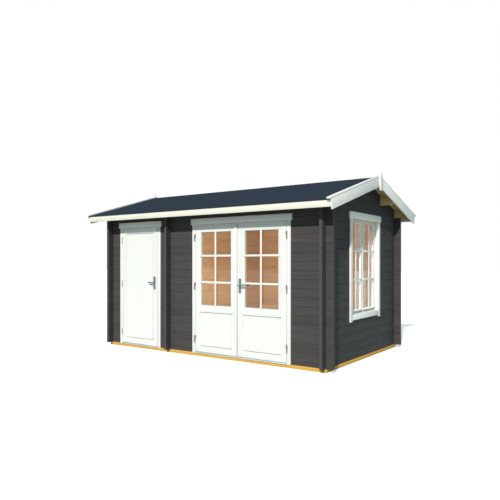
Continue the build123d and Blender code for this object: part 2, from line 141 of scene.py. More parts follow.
class Graph:
    """A material's node tree, which each finish fills in."""

    def __init__(self, name: str) -> None:
        """Start an empty tree.

        Args:
            name: The material's name.
        """
        self.material = bpy.data.materials.new(name)
        self.material.use_nodes = True
        self.tree = self.material.node_tree
        self.tree.nodes.clear()

    def add(self, kind: str, inputs: dict | None = None, **settings: object) -> bpy.types.Node:
        """Add a node with its settings and links.

        Args:
            kind: The node's type, without its ShaderNode prefix.
            inputs: Socket name or number to a value, or to the socket that feeds it.
            settings: The node's own properties.

        Returns:
            The new node.
        """
        node = self.tree.nodes.new("ShaderNode" + kind)
        for name, value in settings.items():
            setattr(node, name, value)
        for name, value in (inputs or {}).items():
            if isinstance(value, bpy.types.NodeSocket):
                self.tree.links.new(value, node.inputs[name])
            else:
                node.inputs[name].default_value = value
        return node

    def streaks(
        self,
        along: Axis,
        width: float,
        length: float,
        shift: bpy.types.NodeSocket | None = None,
        detail: float = 4.0,
    ) -> bpy.types.NodeSocket:
        """Grain, as noise drawn out along the wood.

        Args:
            along: The direction of the grain.
            width: How wide a streak is, in metres.
            length: How long a streak is, in metres.
            shift: A number that gives each board a pattern of its own.
            detail: How much finer the finest streaks are.

        Returns:
            A value from 0 to 1.
        """
        scale = [1 / width] * 3
        scale[along.value] = 1 / length
        place = self.add("TexCoord").outputs["Object"]
        drawn = self.add("Mapping", {"Vector": place, "Scale": scale}).outputs[0]
        if shift is not None:
            drawn = self.add("VectorMath", {0: drawn, 1: shift}, operation="ADD").outputs[0]
        noise = {"Vector": drawn, "Scale": 1.0, "Detail": detail, "Distortion": 0.5}
        return self.add("TexNoise", noise).outputs[0]

    def mottle(self, size: float) -> bpy.types.NodeSocket:
        """Even noise with no direction.

        Args:
            size: How large a patch is, in metres.

        Returns:
            A value from 0 to 1.
        """
        place = self.add("TexCoord").outputs["Object"]
        return self.add("TexNoise", {"Vector": place, "Scale": 1 / size, "Detail": 3.0}).outputs[0]

    def board_number(self, across: Axis, start: float, pitch: float) -> bpy.types.NodeSocket:
        """Count the boards or logs in one direction.

        Args:
            across: The direction in which one board follows another.
            start: Where a board begins.
            pitch: The width of a board.

        Returns:
            A whole number for each board.
        """
        place = self.add("TexCoord").outputs["Object"]
        one_way = self.add("SeparateXYZ", {0: place}).outputs[across.value]
        counted = self.add("Math", {0: one_way, 1: start}, operation="SUBTRACT").outputs[0]
        counted = self.add("Math", {0: counted, 1: pitch}, operation="DIVIDE").outputs[0]
        return self.add("Math", {0: counted}, operation="FLOOR").outputs[0]

    def blend(
        self,
        share: bpy.types.NodeSocket | float,
        first: object,
        second: object,
        mode: str = "MIX",
    ) -> bpy.types.NodeSocket:
        """Blend two colours.

        Args:
            share: How much of the second colour shows.
            first: A colour or the socket that gives it.
            second: A colour or the socket that gives it.
            mode: How the second colour is laid over the first.

        Returns:
            The blended colour.
        """
        inputs = {0: share, 6: first, 7: second}
        return self.add("Mix", inputs, data_type="RGBA", blend_type=mode).outputs[2]

    def within(
        self, value: bpy.types.NodeSocket, low: float, high: float, start: float = 0.0, end: float = 1.0
    ) -> bpy.types.NodeSocket:
        """Stretch part of a value's range.

        Args:
            value: The value.
            low: Where the range starts.
            high: Where the range ends.
            start: What comes out at low.
            end: What comes out at high.

        Returns:
            The stretched value, held between start and end.
        """
        inputs = {0: value, 1: low, 2: high, 3: start, 4: end}
        return self.add("MapRange", inputs).outputs[0]

    def bump(self, height: bpy.types.NodeSocket, depth: float) -> bpy.types.NodeSocket:
        """Turn a height from 0 to 1 into a relief of a real depth.

        Args:
            height: The relief.
            depth: Its depth, in metres.

        Returns:
            The normal.
        """
        inputs = {"Height": height, "Distance": depth, "Strength": 1.0}
        return self.add("Bump", inputs).outputs[0]

    def close(self, **shader: object) -> bpy.types.Material:
        """End the tree in a principled shader.

        Args:
            shader: Socket name, with low lines for its spaces, to a value or a socket.

        Returns:
            The finished material.
        """
        inputs = {name.replace("_", " "): value for name, value in shader.items()}
        surface = self.add("BsdfPrincipled", inputs).outputs[0]
        self.add("OutputMaterial", {"Surface": surface})
        return self.material


@dataclass(frozen=True)
class BareSpruce:
    """Planed spruce with no coating: pale yellow-brown, with resin-dark late wood and a few knots.

    Dry planed softwood is dull, so its roughness is high. Late wood lines are 3 to 6 mm apart.
    """

    name: str = "planed_spruce"
    along: Axis = Axis.X
    across: Axis = Axis.Z
    start: float = 0.0
    pitch: float = 0.096
    pale: str = "#E4BD88"
    dark: str = "#C4955A"
    knot: str = "#7A4A22"
    late_wood: Span = (5 * MM, 260 * MM)
    heartwood: Span = (38 * MM, 900 * MM)
    knot_spacing: Span = (0.105, 0.34)
    board_shift: float = 7.31

    def colour(self, graph: Graph) -> bpy.types.NodeSocket:
        """Draw the wood's colour.

        Args:
            graph: The material that it is drawn in.

        Returns:
            The colour.
        """
        number = graph.board_number(self.across, self.start, self.pitch)
        tone = graph.add("TexWhiteNoise", {"W": number}, noise_dimensions="1D").outputs["Value"]
        shifted = {0: number, 1: self.board_shift}
        shift = graph.add("Math", shifted, operation="MULTIPLY").outputs[0]
        fine = graph.streaks(self.along, *self.late_wood, shift)
        broad = graph.streaks(self.along, *self.heartwood, shift, 2.0)
        grain = graph.blend(graph.within(fine, 0.42, 0.72), linear(self.pale), linear(self.dark))
        grain = graph.blend(graph.within(broad, 0.35, 0.75, 0.0, 0.35), grain, linear(self.dark))
        board = graph.within(tone, 0.0, 1.0, 0.86, 1.04)
        grain = graph.blend(1.0, grain, board, "MULTIPLY")
        return graph.blend(self.knots(graph, shift), grain, linear(self.knot))

    def knots(self, graph: Graph, shift: bpy.types.NodeSocket) -> bpy.types.NodeSocket:
        """Scatter knots about 14 mm across, one or two to a metre of board.

        Args:
            graph: The material that they are drawn in.
            shift: A number that gives each board a pattern of its own.

        Returns:
            Where the knots are, from 0 to 1.
        """
        across, along = self.knot_spacing
        scale = [1 / across] * 3
        scale[self.along.value] = 1 / along
        place = graph.add("TexCoord").outputs["Object"]
        drawn = graph.add("Mapping", {"Vector": place, "Scale": scale}).outputs[0]
        drawn = graph.add("VectorMath", {0: drawn, 1: shift}, operation="ADD").outputs[0]
        cells = graph.add("TexVoronoi", {"Vector": drawn, "Scale": 1.0, "Randomness": 0.9})
        return graph.within(cells.outputs["Distance"], 0.05, 0.085, 0.75, 0.0)

    def build(self) -> bpy.types.Material:
        """Make the material.

        Returns:
            The material.
        """
        graph = Graph(self.name)
        fine = graph.streaks(self.along, *self.late_wood)
        rough = graph.within(fine, 0.2, 0.8, 0.52, 0.7)
        return graph.close(
            Base_Color=self.colour(graph), Roughness=rough, Normal=graph.bump(fine, 0.3 * MM)
        )


@dataclass(frozen=True)
class StainedLogs:
    """Planed spruce logs under anthracite stain outside, and bare inside.

    The stain is a thin dull film, so the grain still lifts it. Each log takes the stain a little
    differently, and saw-cut ends show their rings through it.
    """

    name: str
    along: Axis
    first_joint: float
    bare_x: float
    bare_y: float
    bare_above: float = NOWHERE
    stain: str = "#514E4E"
    stain_dark: str = "#434040"
    sawn: str = "#545152"
    sawn_dark: str = "#444142"
    fine_grain: Span = (6 * MM, 320 * MM)
    broad_grain: Span = (40 * MM, 1100 * MM)
    ring_scale: float = 55.0
    log_shift: float = 3.77

    def inside(self, graph: Graph) -> bpy.types.NodeSocket:
        """Tell the faces that look into the rooms, where the wood is bare, from the others.

        Args:
            graph: The material that they are told apart in.

        Returns:
            1 on bare faces and 0 on stained ones.
        """
        place = graph.add("TexCoord").outputs["Object"]
        x, y, z = graph.add("SeparateXYZ", {0: place}).outputs
        tests = []
        for value, limit in ((x, self.bare_x), (y, self.bare_y)):
            size = graph.add("Math", {0: value}, operation="ABSOLUTE").outputs[0]
            tests.append(graph.add("Math", {0: size, 1: limit}, operation="LESS_THAN").outputs[0])
        high = graph.add("Math", {0: z, 1: self.bare_above}, operation="GREATER_THAN").outputs[0]
        in_x = graph.add("Math", {0: tests[0], 1: high}, operation="MAXIMUM").outputs[0]
        return graph.add("Math", {0: in_x, 1: tests[1]}, operation="MULTIPLY").outputs[0]

    def end_grain(self, graph: Graph) -> bpy.types.NodeSocket:
        """Tell the logs' sawn ends from their sides.

        Args:
            graph: The material that they are told apart in.

        Returns:
            1 on the ends and 0 on the sides.
        """
        normal = graph.add("TexCoord").outputs["Normal"]
        lengthwise = graph.add("SeparateXYZ", {0: normal}).outputs[self.along.value]
        size = graph.add("Math", {0: lengthwise}, operation="ABSOLUTE").outputs[0]
        return graph.add("Math", {0: size, 1: 0.8}, operation="GREATER_THAN").outputs[0]

    def build(self) -> bpy.types.Material:
        """Make the material.

        Returns:
            The material.
        """
        graph = Graph(self.name)
        number = graph.board_number(Axis.Z, self.first_joint, SIZES.log_height)
        tone = graph.add("TexWhiteNoise", {"W": number}, noise_dimensions="1D").outputs["Value"]
        shifted = {0: number, 1: self.log_shift}
        shift = graph.add("Math", shifted, operation="MULTIPLY").outputs[0]
        fine = graph.streaks(self.along, *self.fine_grain, shift)
        broad = graph.streaks(self.along, *self.broad_grain, shift, 2.0)
        dark = linear(self.stain_dark)
        film = graph.blend(graph.within(fine, 0.35, 0.75), linear(self.stain), dark)
        film = graph.blend(graph.within(broad, 0.4, 0.7, 0.0, 0.4), film, dark)
        film = graph.blend(1.0, film, graph.within(tone, 0.0, 1.0, 0.93, 1.06), "MULTIPLY")
        ends = self.end_grain(graph)
        wave = {"Scale": self.ring_scale, "Distortion": 2.0}
        rings = graph.add("TexWave", wave, wave_type="RINGS").outputs[1]
        share = graph.within(rings, 0.0, 1.0, 0.0, 0.5)
        sawn = graph.blend(share, linear(self.sawn), linear(self.sawn_dark))
        film = graph.blend(ends, film, sawn)
        wood = BareSpruce(along=self.along, start=self.first_joint, pitch=SIZES.log_height)
        bare = self.inside(graph)
        colour = graph.blend(bare, film, wood.colour(graph))
        rough = graph.within(fine, 0.2, 0.8, 0.46, 0.62)
        normal = graph.bump(fine, 0.45 * MM)
        return graph.close(Base_Color=colour, Roughness=rough, Specular_IOR_Level=0.04, Normal=normal)


@dataclass(frozen=True)
class WhitePaint:
    """White joinery paint, brushed over planed softwood.

    Satin, with brush marks along the wood and a faint warmth where the film is thin.
    """

    name: str = "white_satin_paint"
    along: Axis = Axis.Z
    white: str = "#EAEAE7"
    thin: str = "#E2E1DB"
    relief: float = 0.14 * MM
    brush_mark: Span = (3.5 * MM, 180 * MM)
    cloud: float = 0.12

    def build(self) -> bpy.types.Material:
        """Make the material.

        Returns:
            The material.
        """
        graph = Graph(self.name)
        brush = graph.streaks(self.along, *self.brush_mark)
        share = graph.within(graph.mottle(self.cloud), 0.35, 0.75, 0.0, 0.4)
        colour = graph.blend(share, linear(self.white), linear(self.thin))
        colour = graph.blend(graph.within(brush, 0.55, 0.8, 0.0, 0.25), colour, linear(self.thin))
        rough = graph.within(brush, 0.2, 0.8, 0.34, 0.5)
        normal = graph.bump(brush, self.relief)
        return graph.close(Base_Color=colour, Roughness=rough, Normal=normal)


@dataclass(frozen=True)
class TreatedPine:
    """Sawn pine, pressure treated: yellow with a green cast, rough from the saw and quite dull."""

    name: str = "treated_pine"
    along: Axis = Axis.X
    pale: str = "#E2AC4C"
    dark: str = "#C68F34"
    green: str = "#B89D5A"
    saw_mark: Span = (4 * MM, 140 * MM)
    treatment: Span = (24 * MM, 600 * MM)

    def build(self) -> bpy.types.Material:
        """Make the material.

        Returns:
            The material.
        """
        graph = Graph(self.name)
        fine = graph.streaks(self.along, *self.saw_mark)
        broad = graph.streaks(self.along, *self.treatment)
        colour = graph.blend(graph.within(fine, 0.4, 0.75), linear(self.pale), linear(self.dark))
        share = graph.within(broad, 0.4, 0.8, 0.0, 0.45)
        colour = graph.blend(share, colour, linear(self.green))
        rough = graph.within(fine, 0.2, 0.8, 0.68, 0.85)
        return graph.close(Base_Color=colour, Roughness=rough, Normal=graph.bump(fine, 0.6 * MM))


@dataclass(frozen=True)
class MineralFelt:
    """Bitumen roofing felt faced with slate granules about 1.5 mm across: matt, dark blue-grey.

    The granules are drawn at 4 mm, as coarse as they need to show at the photo's distance.
    """

    name: str = "slate_granule_felt"
    granule: float = 4 * MM
    patch: float = 0.35
    dark: str = "#252D39"
    pale: str = "#3E4754"
    weathered: str = "#313A47"

    def build(self) -> bpy.types.Material:
        """Make the material.

        Returns:
            The material.
        """
        graph = Graph(self.name)
        place = graph.add("TexCoord").outputs["Object"]
        grit = graph.add("TexVoronoi", {"Vector": place, "Scale": 1 / self.granule})
        speck = graph.add("SeparateColor", {0: grit.outputs["Color"]}).outputs[0]
        colour = graph.blend(speck, linear(self.dark), linear(self.pale))
        cloud = graph.within(graph.mottle(self.patch), 0.35, 0.7, 0.0, 0.35)
        colour = graph.blend(cloud, colour, linear(self.weathered))
        rough = graph.within(speck, 0.0, 1.0, 0.78, 0.95)
        normal = graph.bump(grit.outputs["Distance"], 0.7 * MM)
        return graph.close(Base_Color=colour, Roughness=rough, Specular_IOR_Level=0.0, Normal=normal)


@dataclass(frozen=True)
class GalvanisedSteel:
    """Zinc-coated steel: pale grey crystals some 8 mm across, dull, with soft wear.

    Past a limit along X, the zinc is painted a duller grey: painted shade, used for the double door's
    hinges.
    """

    name: str
    pale: str
    dark: str
    roughness: Span = (0.32, 0.5)
    # Where the painted shade starts along X, and its duller grey
    shaded_beyond: float = NOWHERE
    shade_grey: str = "#8C8986"
    crystal: float = 8 * MM
    smear: float = 0.03
    pitting: float = 0.004

    def build(self) -> bpy.types.Material:
        """Make the material.

        Returns:
            The material.
        """
        graph = Graph(self.name)
        place = graph.add("TexCoord").outputs["Object"]
        spangle = graph.add("TexVoronoi", {"Vector": place, "Scale": 1 / self.crystal})
        speck = graph.add("SeparateColor", {0: spangle.outputs["Color"]}).outputs[1]
        colour = graph.blend(speck, linear(self.pale), linear(self.dark))
        # Painted shade: past the limit along X the colour turns a duller grey
        across = graph.add("SeparateXYZ", {0: place}).outputs[0]
        limit = {0: across, 1: self.shaded_beyond}
        painted_shade_share = graph.add("Math", limit, operation="GREATER_THAN").outputs[0]
        colour = graph.blend(painted_shade_share, colour, linear(self.shade_grey))
        rough = graph.within(graph.mottle(self.smear), 0.3, 0.7, *self.roughness)
        normal = graph.bump(graph.mottle(self.pitting), 0.05 * MM)
        return graph.close(Base_Color=colour, Roughness=rough, Metallic=0.9, Normal=normal)


@dataclass(frozen=True)
class GlazingGasket:
    """Grey extruded rubber that seals a pane: matt and slightly chalky, with no grain."""

    name: str = "grey_rubber_gasket"
    grey: str = "#8E918F"
    chalk: str = "#A2A5A3"
    chalk_patch: float = 6 * MM

    def build(self) -> bpy.types.Material:
        """Make the material.

        Returns:
            The material.
        """
        graph = Graph(self.name)
        share = graph.within(graph.mottle(self.chalk_patch), 0.35, 0.7)
        colour = graph.blend(share, linear(self.grey), linear(self.chalk))
        normal = graph.bump(graph.mottle(1.5 * MM), 0.05 * MM)
        return graph.close(Base_Color=colour, Roughness=0.7, Normal=normal)


@dataclass(frozen=True)
class FloatGlass:
    """Clear float glass, 4 mm thick: a faint green cast, smooth, letting the sun into the rooms."""

    name: str = "float_glass"
    cast: str = "#F4FAF7"
    smear_patch: float = 0.2

    def build(self) -> bpy.types.Material:
        """Make the material.

        Returns:
            The material.
        """
        graph = Graph(self.name)
        cast = linear(self.cast)
        smear = graph.within(graph.mottle(self.smear_patch), 0.45, 0.8, 0.0, 0.03)
        glass = {"Base Color": cast, "Roughness": smear, "IOR": 1.5, "Transmission Weight": 1.0}
        clear = graph.add("BsdfPrincipled", glass).outputs[0]
        light = graph.add("BsdfTransparent", {"Color": cast}).outputs[0]
        shadow = graph.add("LightPath").outputs["Is Shadow Ray"]
        surface = graph.add("MixShader", {0: shadow, 1: clear, 2: light}).outputs[0]
        graph.add("OutputMaterial", {"Surface": surface})
        return graph.material


class Finishes:
    """Every finish on the cabin, each made once."""

    def __init__(self) -> None:
        """Make the materials."""
        # Bare wood reaches past the rooms' faces, into the bevels of the joints between logs
        past_bevel = 8 * MM
        inner_y = SIZES.inner_y + past_bevel
        inner_x = SIZES.inner_x + past_bevel
        half_log = SIZES.base + SIZES.log_height / 2
        # 1 mm over the joint above the first course of the top logs
        over_first_course = 2.041
        long_walls = (Axis.X, half_log, inner_x, inner_y)
        self.long_logs = StainedLogs("stained_long_logs", *long_walls).build()
        self.top_logs = StainedLogs("stained_top_logs", *long_walls, over_first_course).build()
        # Darker, cooler copy of the long walls' stain: painted shade on the walls whose faces look to
        # the cabin's ends, where less light falls
        self.cross_logs_shaded = StainedLogs(
            "stained_cross_logs_painted_shade",
            Axis.Y,
            SIZES.base,
            inner_x,
            SIZES.inner_y - 1 * MM,
            stain="#48494A",
            stain_dark="#3C3C3D",
        ).build()
        self.purlin = BareSpruce(
            "purlin_spruce", Axis.X, Axis.Y, -0.3, 0.6, "#EBCB8C", "#CDA45F"
        ).build()
        self.roof_deck = BareSpruce("roof_deck_spruce", Axis.Y, Axis.X, 0.0, 0.0952).build()
        self.floor = BareSpruce(
            "floor_spruce", Axis.X, Axis.Y, 0.0, 0.096, "#D9AE70", "#B27C40"
        ).build()
        self.upright_paint = WhitePaint().build()
        # Paler copy of the white paint for the woodwork on the cabin's ends: painted light, making up
        # for the weaker light that falls on those sides
        self.gable_brightened_paint = WhitePaint(
            "white_satin_paint_gable_painted_light", Axis.Y, "#FAF8F3", "#F1EFE7", relief=0.2 * MM
        ).build()
        self.cream_paint = WhitePaint("cream_fascia_paint", Axis.X, "#FFF7E9", "#F8EBD8").build()
        # Grey copy of the white paint: painted shade for the floors of the panels' grooves
        self.groove_shade_paint = WhitePaint("painted_groove_shade", Axis.X, "#C2C4C0", "#B4B6B3").build()
        self.fillet = BareSpruce(
            "fillet_spruce", Axis.Y, Axis.Z, 0.0, 0.5, "#EFDCC0", "#DCC3A0"
        ).build()
        self.gasket = GlazingGasket().build()
        self.beams = TreatedPine().build()
        self.felt = MineralFelt().build()
        self.glass = FloatGlass().build()
        self.steel = GalvanisedSteel(
            "brushed_steel_handles", "#8B9699", "#76848A", roughness=(0.25, 0.38)
        ).build()
        self.bright_zinc = GalvanisedSteel("bright_zinc_thresholds", "#DCE3E6", "#C6CED2").build()
        # Dark blue-grey zinc under the window's drip mouldings: painted shade, deepening the moulding's
        # shadow
        self.shade_strip = GalvanisedSteel("zinc_strip_painted_shade", "#90A4AC", "#7C9099").build()
        # Past x = -0.9 the zinc turns a duller grey, as painted shade on the double door's hinges; the
        # single door's hinges stay pale
        self.hinges = GalvanisedSteel(
            "zinc_hinges_painted_shade", "#DADEDE", "#C2C8C9", shaded_beyond=-0.9
        ).build()


def block(mesh: bmesh.types.BMesh, low: Point, high: Point) -> list[bmesh.types.BMVert]:
    """Add a block between two corners.

    Args:
        mesh: The mesh it goes in.
        low: The lowest corner.
        high: The highest corner.

    Returns:
        The new vertices.
    """
    size = Vector(high) - Vector(low)
    middle = (Vector(high) + Vector(low)) / 2
    place = Matrix.Translation(middle) @ Matrix.Diagonal((*size, 1.0))
    return bmesh.ops.create_cube(mesh, size=1.0, matrix=place)["verts"]


def round_edges(
    mesh: bmesh.types.BMesh,
    width: float,
    segments: int = 2,
    edges: Iterable[bmesh.types.BMEdge] | None = None,
) -> None:
    """Round the outward edges of a mesh.

    Args:
        mesh: The mesh.
        width: How far the rounding reaches from each edge, in metres.
        segments: How many steps it has.
        edges: The edges to round, or none for every sharp outward edge.
    """
    if edges is None:
        closed = [e for e in mesh.edges if e.is_manifold]
        edges = [e for e in closed if e.calc_face_angle_signed(0) > ROUNDED_ANGLE]
    bmesh.ops.bevel(
        mesh,
        geom=list(edges),
        offset=width,
        offset_type="OFFSET",
        segments=segments,
        profile=0.5,
        affect="EDGES",
        clamp_overlap=True,
        material=-1,
    )


def place_piece(
    name: str,
    mesh: bmesh.types.BMesh,
    finish: bpy.types.Material,
    body: Body,
    replaces: Sequence[str] = (),
) -> bpy.types.Object:
    """Turn a finished mesh into a piece of the cabin.

    Args:
        name: The piece's name.
        mesh: Its mesh, in place, which this frees.
        finish: Its material.
        body: The body it rides on.
        replaces: The nodes that it stands for.

    Returns:
        The piece.
    """
    bmesh.ops.recalc_face_normals(mesh, faces=mesh.faces)
    data = bpy.data.meshes.new(name)
    mesh.to_mesh(data)
    mesh.free()
    data.materials.append(finish)
    data.shade_smooth()
    data.set_sharp_from_angle(angle=SHARP_ANGLE)
    piece = bpy.data.objects.new(name, data)
    bpy.context.scene.collection.objects.link(piece)
    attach(piece, body.value)
    if replaces:
        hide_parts(*replaces)
    LOG.info("%s: %d faces on %s", name, len(data.polygons), body.value)
    return piece


@dataclass
class NodeWork:
    """Finishes for the nodes whose solids already have the right shape, and eased copies of others."""

    nodes: dict[str, bpy.types.Object]

    def dress(self, finish: bpy.types.Material, slot: Slot, *names: str) -> None:
        """Give nodes a finish.

        Args:
            finish: The material.
            slot: Not used.
            names: The nodes.
        """
        for name in names:
            node = self.nodes[name]
            node.data.materials.clear()
            node.data.materials.append(finish)
            LOG.info("%s: dressed in %s", name, finish.name)

    def eased(
        self,
        node: str,
        finish: bpy.types.Material,
        body: Body,
        width: float = 1.5 * MM,
        segments: int = 2,
    ) -> bpy.types.Object:
        """Copy a node with its sharp edges eased, as a plane or sandpaper leaves them.

        Args:
            node: The node's name.
            finish: The material.
            body: The body that it rides on.
            width: How far the easing reaches from each edge, in metres.
            segments: How many steps it has.

        Returns:
            The piece that stands for the node.
        """
        mesh = bmesh.new()
        mesh.from_mesh(self.nodes[node].data)
        bmesh.ops.remove_doubles(mesh, verts=mesh.verts, dist=MERGE_DISTANCE)
        bmesh.ops.dissolve_limit(
            mesh, angle_limit=FLAT_ANGLE, verts=mesh.verts, edges=mesh.edges
        )
        round_edges(mesh, width, segments)
        return place_piece(f"{node}_eased", mesh, finish, body, (node,))


@dataclass
class RoofDeck:
    """Roof boards of both slopes, laid from ridge to eave, with bevelled edges seen from below."""

    finishes: Finishes
    board: float = 0.0952
    joint: float = 0.3 * MM
    edge_bevel: float = 3 * MM
    ridge_lap: float = 0.02
    half_ridge_gap: float = 0.2 * MM

    def slope(self, name: str, side: int, node: str) -> None:
        """Lay the boards of one slope.

        Args:
            name: The piece's name.
            side: 1 for the rear slope and -1 for the front.
            node: The node that the boards stand for.
        """
        mesh = bmesh.new()
        count = round(2 * SIZES.eave_end / self.board)
        width = 2 * SIZES.eave_end / count
        reach = SIZES.slope_length - SIZES.fascia
        for number in range(count):
            low = -SIZES.eave_end + number * width
            far = (low + width - self.joint, reach, SIZES.roof_board)
            ends = block(mesh, (low, -self.ridge_lap, 0.0), far)
            edges = {e for v in ends for e in v.link_edges}
            under = [e for e in edges if all(v.co.z < 1 * MM for v in e.verts)]
            long_edges = [e for e in under if abs(e.verts[0].co.y - e.verts[1].co.y) > 0.5]
            round_edges(mesh, self.edge_bevel, 1, long_edges)
        turn = Matrix.Rotation(-SIZES.pitch, 4, "X")
        bmesh.ops.transform(mesh, matrix=turn, verts=mesh.verts)
        bmesh.ops.translate(mesh, vec=(0, 0, SIZES.underside_ridge), verts=mesh.verts)
        cut = bmesh.ops.bisect_plane(
            mesh,
            geom=mesh.verts[:] + mesh.edges[:] + mesh.faces[:],
            plane_co=(0, self.half_ridge_gap, 0),
            plane_no=(0, 1, 0),
            clear_inner=True,
        )
        cut_edges = [e for e in cut["geom_cut"] if isinstance(e, bmesh.types.BMEdge)]
        bmesh.ops.holes_fill(mesh, edges=cut_edges)
        if side < 0:
            bmesh.ops.scale(mesh, vec=(1, -1, 1), verts=mesh.verts)
        place_piece(name, mesh, self.finishes.roof_deck, Body.CABIN, (node,))

    def build(self) -> None:
        """Lay both slopes."""
        self.slope("rear_deck_boards", 1, "rear_roof_boards")
        self.slope("front_deck_boards", -1, "front_roof_boards")


@dataclass
class PlankFloor:
    """Tongued floor boards, laid along the cabin in both rooms."""

    finishes: Finishes
    board: float = 0.096
    groove: float = 0.6 * MM
    edge: float = 0.8 * MM
    wall_gap: float = 1 * MM
    store_room: Span = (-1.907, -0.671)
    main_room: Span = (-0.627, 1.907)

    def build(self) -> None:
        """Lay the boards."""
        mesh = bmesh.new()
        depth = SIZES.inner_y - self.wall_gap
        count = math.ceil(2 * depth / self.board)
        for low_x, high_x in (self.store_room, self.main_room):
            for number in range(count):
                low = -depth + number * self.board
                high = min(low + self.board - self.groove, depth)
                block(mesh, (low_x, low, SIZES.base), (high_x, high, SIZES.floor_top))
        round_edges(mesh, self.edge, 1)
        finish = self.finishes.floor
        place_piece("floor_planks", mesh, finish, Body.CABIN, ("floor_boards",))


@dataclass
class Grid:
    """Glazing bars over a pane: uprights and level bars that lap onto the frame around it."""

    lap: float
    width: float = 27 * MM
    proud: float = 10 * MM
    step: float = 0.4 * MM

    def bars(self, light: tuple[Span, Span], levels: Sequence[float]) -> list:
        """List the bars as rectangles in the plane of the pane, the upright one in its middle.

        Args:
            light: The pane's sides and its bottom and top.
            levels: The heights of the level bars.

        Returns:
            For each bar, its sides, its bottom and top, and whether it is upright.
        """
        (left, right), (low, high) = light
        half = self.width / 2
        middle = (left + right) / 2
        found = [((middle - half, middle + half), (low - self.lap, high + self.lap), True)]
        sides = (left - self.lap, right + self.lap)
        found += [(sides, (level - half, level + half), False) for level in levels]
        return found


@dataclass
class DoorLeaf:
    """Joinery on one glazed leaf of the double door: its bars, its gasket and its low panel."""

    finishes: Finishes
    side: str
    body: Body
    span: Span
    glass_width: float = 0.533
    glass_low: float = 0.735
    glass_high: float = 1.773
    levels: tuple[float, float] = (1.063, 1.437)
    panel_low: float = 0.161
    panel_high: float = 0.621
    panel_inset: float = 0.096
    bar_lap: float = 24 * MM
    bar_edge: float = 2.2 * MM
    gasket_width: float = 9 * MM
    gasket_depth: float = 4 * MM
    gasket_gap: float = 0.2 * MM
    gasket_edge: float = 0.8 * MM

    @property
    def light(self) -> tuple[Span, Span]:
        """Find the glazed opening.

        Returns:
            Its sides, and its bottom and top.
        """
        middle = sum(self.span) / 2
        half = self.glass_width / 2
        return (middle - half, middle + half), (self.glass_low, self.glass_high)

    def bars(self) -> None:
        """Make the flat bars that lie on the outer face of the leaf."""
        mesh = bmesh.new()
        grid = Grid(self.bar_lap)
        for x, z, upright in grid.bars(self.light, self.levels):
            front = SIZES.door_face - grid.proud + (0.0 if upright else grid.step)
            block(mesh, (x[0], front, z[0]), (x[1], SIZES.door_face, z[1]))
        round_edges(mesh, self.bar_edge, 2)
        name = f"{self.side}_leaf_glazing_bars"
        place_piece(name, mesh, self.finishes.upright_paint, self.body)

    def gasket(self) -> None:
        """Run the rubber that seals the pane around the front of the glass."""
        mesh = bmesh.new()
        (left, right), (low, high) = self.light
        width = self.gasket_width
        glass_front = SIZES.door_face + SIZES.pane_setback - SIZES.pane / 2
        front = glass_front - self.gasket_depth
        back = glass_front - self.gasket_gap
        for z_low, z_high in ((low, low + width), (high - width, high)):
            block(mesh, (left, front, z_low), (right, back, z_high))
        for x_low, x_high in ((left, left + width), (right - width, right)):
            block(mesh, (x_low, front, low + width), (x_high, back, high - width))
        round_edges(mesh, self.gasket_edge, 2)
        name = f"{self.side}_leaf_gasket"
        place_piece(name, mesh, self.finishes.gasket, self.body)

    def panel(self) -> None:
        """Lay the tongued boards of the low panel, on the front of the leaf."""
        x = (self.span[0] + self.panel_inset, self.span[1] - self.panel_inset)
        z = (self.panel_low, self.panel_high)
        PanelBoards(self.finishes, self.body, x, z).build(f"{self.side}_leaf")

    def build(self) -> None:
        """Make everything on the leaf."""
        self.bars()
        self.gasket()
        self.panel()


@dataclass
class PanelBoards:
    """Narrow upright boards with bevelled joints, as the face of a door panel."""

    finishes: Finishes
    body: Body
    x: Span
    z: Span
    board: float = 0.088
    thickness: float = 2 * MM
    half_joint: float = 0.3 * MM
    groove: float = 16 * MM
    groove_depth: float = 12 * MM
    bevel: float = 0.9 * MM
    # The grey strips of painted shade on the groove's floor: their depth, and their gap to its walls
    shade_depth: float = 0.4 * MM
    shade_gap: float = 1 * MM

    def boards(self, leaf: str) -> None:
        """Lay the boards.

        Args:
            leaf: The leaf's name, which starts the piece's name.
        """
        mesh = bmesh.new()
        count = round((self.x[1] - self.x[0]) / self.board)
        width = (self.x[1] - self.x[0]) / count
        front = SIZES.door_face - self.thickness
        for number in range(count):
            low = self.x[0] + number * width
            start = (low + self.half_joint, front, self.z[0])
            block(mesh, start, (low + width - self.half_joint, SIZES.door_face, self.z[1]))
        edges = [e for e in mesh.edges if all(v.co.y < front + 0.1 * MM for v in e.verts)]
        round_edges(mesh, self.bevel, 1, edges)
        paint = self.finishes.upright_paint
        place_piece(f"{leaf}_panel_boards", mesh, paint, self.body)

    def paint_groove_shade(self, leaf: str) -> None:
        """Lay grey paint in the level runs of the groove around the panel: painted shade, where the
        groove's upper edges cast shadow.

        Args:
            leaf: The leaf's name, which starts the piece's name.
        """
        mesh = bmesh.new()
        floor = SIZES.door_face + self.groove_depth
        gap = self.shade_gap
        for low in (self.z[0] - self.groove, self.z[1]):
            near = (self.x[0] - self.groove + gap, floor - self.shade_depth, low + gap)
            block(mesh, near, (self.x[1] + self.groove - gap, floor, low + self.groove - gap))
        place_piece(f"{leaf}_groove_painted_shade", mesh, self.finishes.groove_shade_paint, self.body)

    def build(self, leaf: str) -> None:
        """Make the panel of one leaf.

        Args:
            leaf: The leaf's name, which starts the names of the pieces.
        """
        self.boards(leaf)
        self.paint_groove_shade(leaf)


